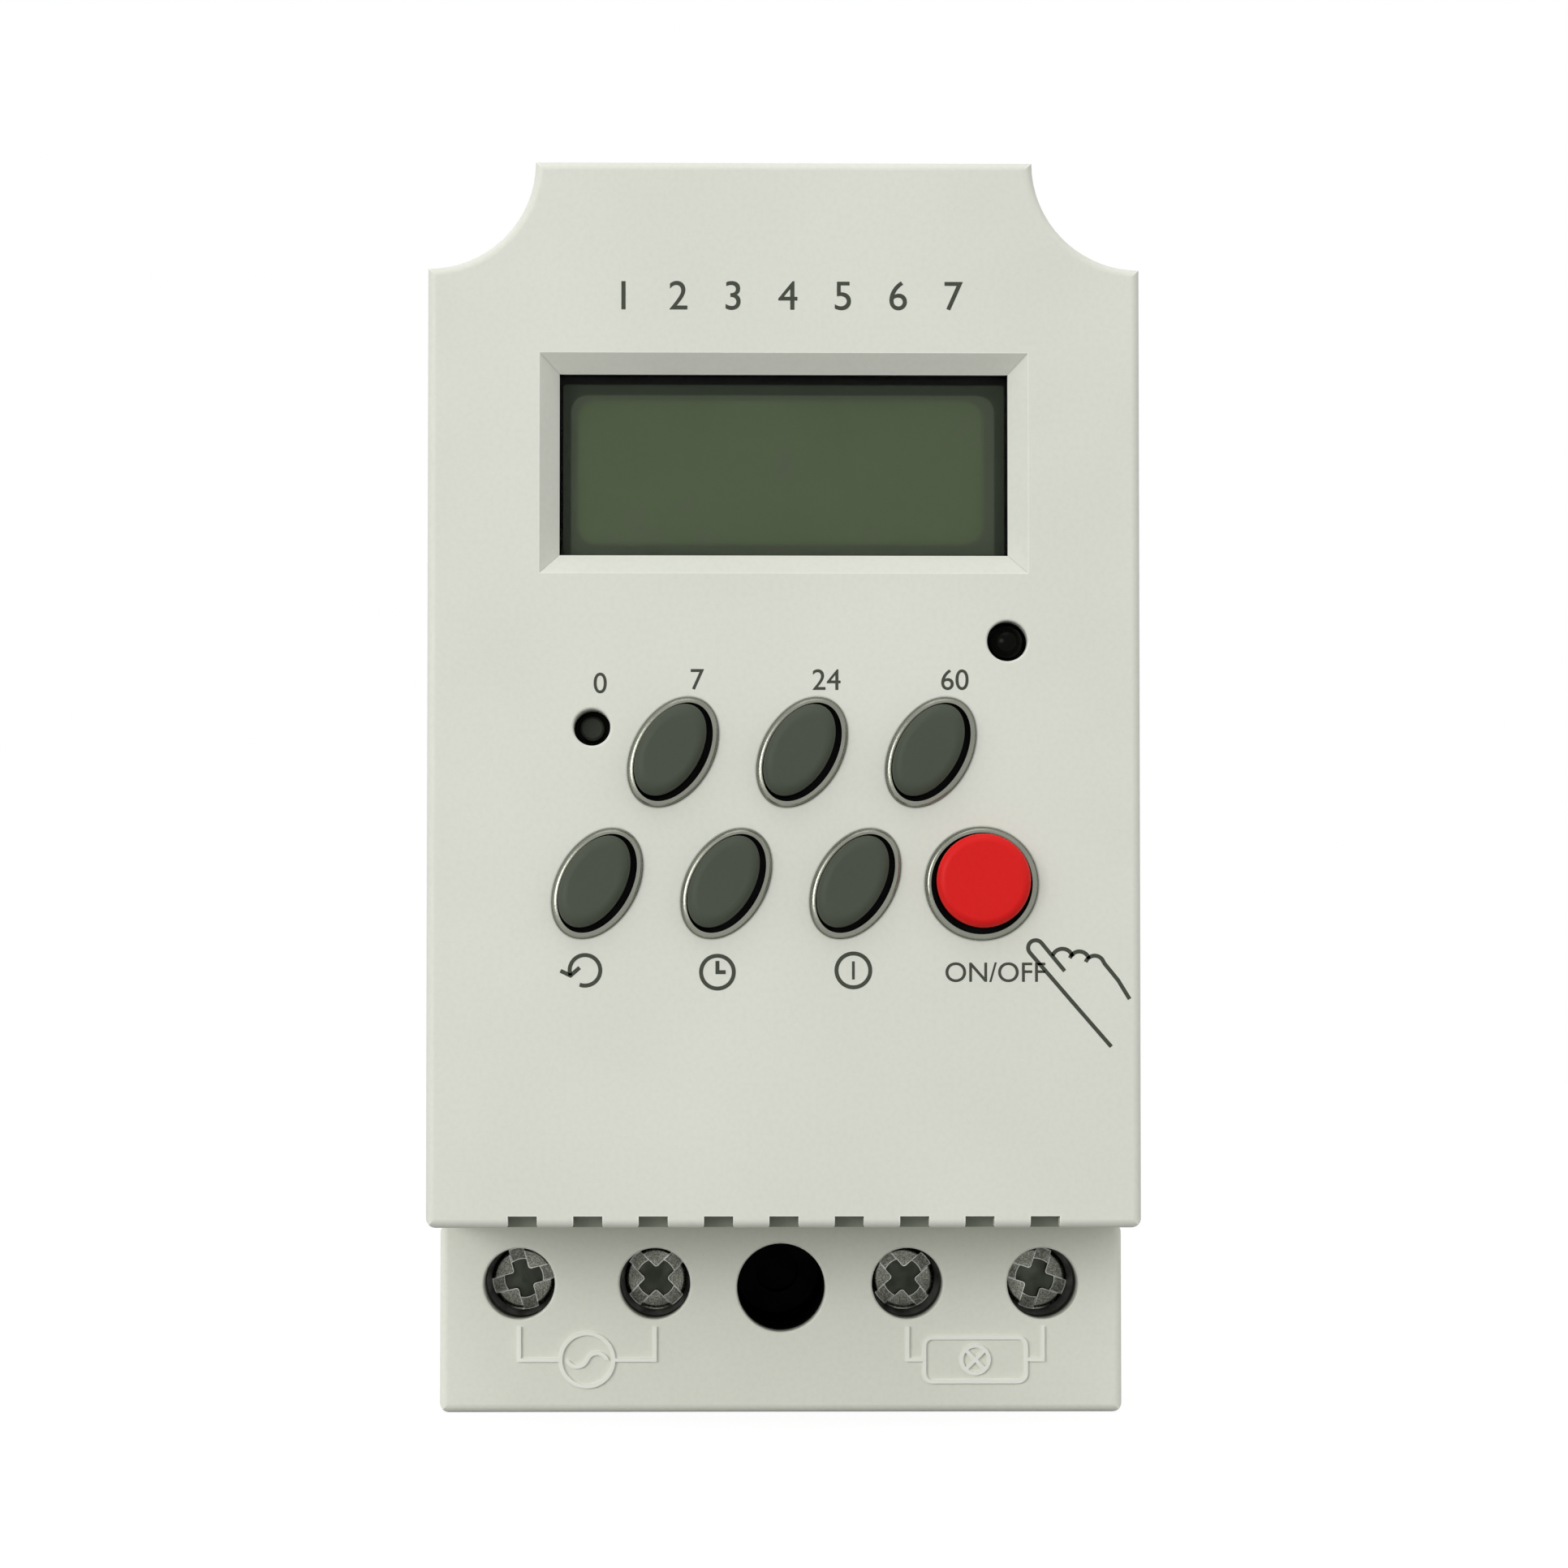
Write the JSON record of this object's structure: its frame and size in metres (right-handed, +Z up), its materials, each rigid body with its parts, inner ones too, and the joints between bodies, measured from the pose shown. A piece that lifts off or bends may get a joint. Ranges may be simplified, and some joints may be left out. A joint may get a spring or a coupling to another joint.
{
  "type": "timer light switch",
  "caption": "Rail or wall mounted weekly timer light switch: pale case with display window, oval keys, round manual key and a set-back shelf of screw terminals.",
  "frame": {"origin": "middle of the rail seat on the back: mid width, at the rail's middle height, on the seat plane", "axes": "+Z up along the case's height, +X to the right seen from the front, +Y out of the back towards the rail"},
  "size_m": [0.0676, 0.059, 0.12],
  "materials": {
    "case_plastic": "fine matte moulding",
    "collar_plate": "satin plated",
    "key_grey": "smooth matte",
    "key_red": "smooth satin",
    "key_black": "smooth",
    "switch_body": "moulded",
    "pane_clear": "polished",
    "lcd_glass": "glossy glass",
    "frame_black": "moulded",
    "contact_rubber": "striped rubber",
    "board_green": "solder mask",
    "screw_steel": "zinc plated",
    "clamp_steel": "zinc plated",
    "spring_steel": "drawn wire",
    "bar_brass": "stamped",
    "led_dark": "smoked lens",
    "chip_black": "epoxy",
    "can_metal": "drawn can",
    "relay_blue": "moulded",
    "film_yellow": "box film",
    "sleeve_dark": "shrink sleeve",
    "resistor_tan": "lacquer",
    "varistor_blue": "epoxy dip"
  },
  "bodies": {
    "case": {"front_cover": "case_plastic", "rear_base": "case_plastic", "terminal_block": "case_plastic", "key_collars": "collar_plate", "key_switches": "switch_body", "display_window": "pane_clear", "lcd_panel": "lcd_glass", "lcd_frame": "frame_black", "zebra_strips": "contact_rubber", "control_board": "board_green", "power_board": "board_green", "case_screws": "screw_steel", "board_screws": "screw_steel", "power_board_screws": "screw_steel", "latch_spring": "spring_steel", "terminal_bars": "bar_brass", "indicator_led": "led_dark", "controller_chip": "chip_black", "rectifier_diodes": "chip_black", "regulator": "chip_black", "board_link": "chip_black", "clock_crystal": "can_metal", "backup_cell": "can_metal", "relay": "relay_blue", "dropper_capacitor": "film_yellow", "smoothing_capacitor": "sleeve_dark", "resistors": "resistor_tan", "varistor": "varistor_blue"},
    "day_key": {"key_day": "key_grey", "plunger_day": "key_black"},
    "hour_key": {"key_hour": "key_grey", "plunger_hour": "key_black"},
    "minute_key": {"key_minute": "key_grey", "plunger_minute": "key_black"},
    "recall_key": {"key_recall": "key_grey", "plunger_recall": "key_black"},
    "clock_key": {"key_clock": "key_grey", "plunger_clock": "key_black"},
    "program_key": {"key_program": "key_grey", "plunger_program": "key_black"},
    "manual_key": {"key_manual": "key_red", "plunger_manual": "key_black"},
    "reset_key": {"key_reset": "key_black"},
    "latch": {"din_latch": "case_plastic"},
    "clamp_1": {"clamp_plate_1": "clamp_steel"},
    "screw_1": {"terminal_screw_1": "screw_steel"},
    "clamp_2": {"clamp_plate_2": "clamp_steel"},
    "screw_2": {"terminal_screw_2": "screw_steel"},
    "clamp_3": {"clamp_plate_3": "clamp_steel"},
    "screw_3": {"terminal_screw_3": "screw_steel"},
    "clamp_4": {"clamp_plate_4": "clamp_steel"},
    "screw_4": {"terminal_screw_4": "screw_steel"}
  },
  "joints": [
    {"name": "day_press", "type": "slide", "parent": "case", "child": "day_key", "axis": [0, 1, 0], "range_m": [0, 0.0008], "stiffness_N_per_m": 800, "springref_m": -0.0006},
    {"name": "hour_press", "type": "slide", "parent": "case", "child": "hour_key", "axis": [0, 1, 0], "range_m": [0, 0.0008], "stiffness_N_per_m": 800, "springref_m": -0.0006},
    {"name": "minute_press", "type": "slide", "parent": "case", "child": "minute_key", "axis": [0, 1, 0], "range_m": [0, 0.0008], "stiffness_N_per_m": 800, "springref_m": -0.0006},
    {"name": "recall_press", "type": "slide", "parent": "case", "child": "recall_key", "axis": [0, 1, 0], "range_m": [0, 0.0008], "stiffness_N_per_m": 800, "springref_m": -0.0006},
    {"name": "clock_press", "type": "slide", "parent": "case", "child": "clock_key", "axis": [0, 1, 0], "range_m": [0, 0.0008], "stiffness_N_per_m": 800, "springref_m": -0.0006},
    {"name": "program_press", "type": "slide", "parent": "case", "child": "program_key", "axis": [0, 1, 0], "range_m": [0, 0.0008], "stiffness_N_per_m": 800, "springref_m": -0.0006},
    {"name": "manual_press", "type": "slide", "parent": "case", "child": "manual_key", "axis": [0, 1, 0], "range_m": [0, 0.0008], "stiffness_N_per_m": 800, "springref_m": -0.0006},
    {"name": "reset_press", "type": "slide", "parent": "case", "child": "reset_key", "axis": [0, 1, 0], "range_m": [0, 0.0008], "stiffness_N_per_m": 800, "springref_m": -0.0006},
    {"name": "latch_slide", "type": "slide", "parent": "case", "child": "latch", "axis": [0, 0, -1], "range_m": [0, 0.003], "stiffness_N_per_m": 900, "springref_m": -0.003, "deforming": ["latch_spring"]},
    {"name": "clamp_lift_1", "type": "slide", "parent": "case", "child": "clamp_1", "axis": [0, -1, 0], "range_m": [0, 0.0035]},
    {"name": "screw_turn_1", "type": "hinge", "parent": "clamp_1", "child": "screw_1", "pos_m": [-0.0257, -0.0208, -0.0474], "axis": [0, -1, 0], "range_deg": [0, 1800]},
    {"name": "clamp_lift_2", "type": "slide", "parent": "case", "child": "clamp_2", "axis": [0, -1, 0], "range_m": [0, 0.0035]},
    {"name": "screw_turn_2", "type": "hinge", "parent": "clamp_2", "child": "screw_2", "pos_m": [-0.0124, -0.0208, -0.0474], "axis": [0, -1, 0], "range_deg": [0, 1800]},
    {"name": "clamp_lift_3", "type": "slide", "parent": "case", "child": "clamp_3", "axis": [0, -1, 0], "range_m": [0, 0.0035]},
    {"name": "screw_turn_3", "type": "hinge", "parent": "clamp_3", "child": "screw_3", "pos_m": [0.0124, -0.0208, -0.0474], "axis": [0, -1, 0], "range_deg": [0, 1800]},
    {"name": "clamp_lift_4", "type": "slide", "parent": "case", "child": "clamp_4", "axis": [0, -1, 0], "range_m": [0, 0.0035]},
    {"name": "screw_turn_4", "type": "hinge", "parent": "clamp_4", "child": "screw_4", "pos_m": [0.0257, -0.0208, -0.0474], "axis": [0, -1, 0], "range_deg": [0, 1800]}
  ],
  "couplings": [
    {"joint": "screw_turn_1", "follows": "clamp_lift_1", "rad_per_m": 8976},
    {"joint": "screw_turn_2", "follows": "clamp_lift_2", "rad_per_m": 8976},
    {"joint": "screw_turn_3", "follows": "clamp_lift_3", "rad_per_m": 8976},
    {"joint": "screw_turn_4", "follows": "clamp_lift_4", "rad_per_m": 8976}
  ]
}
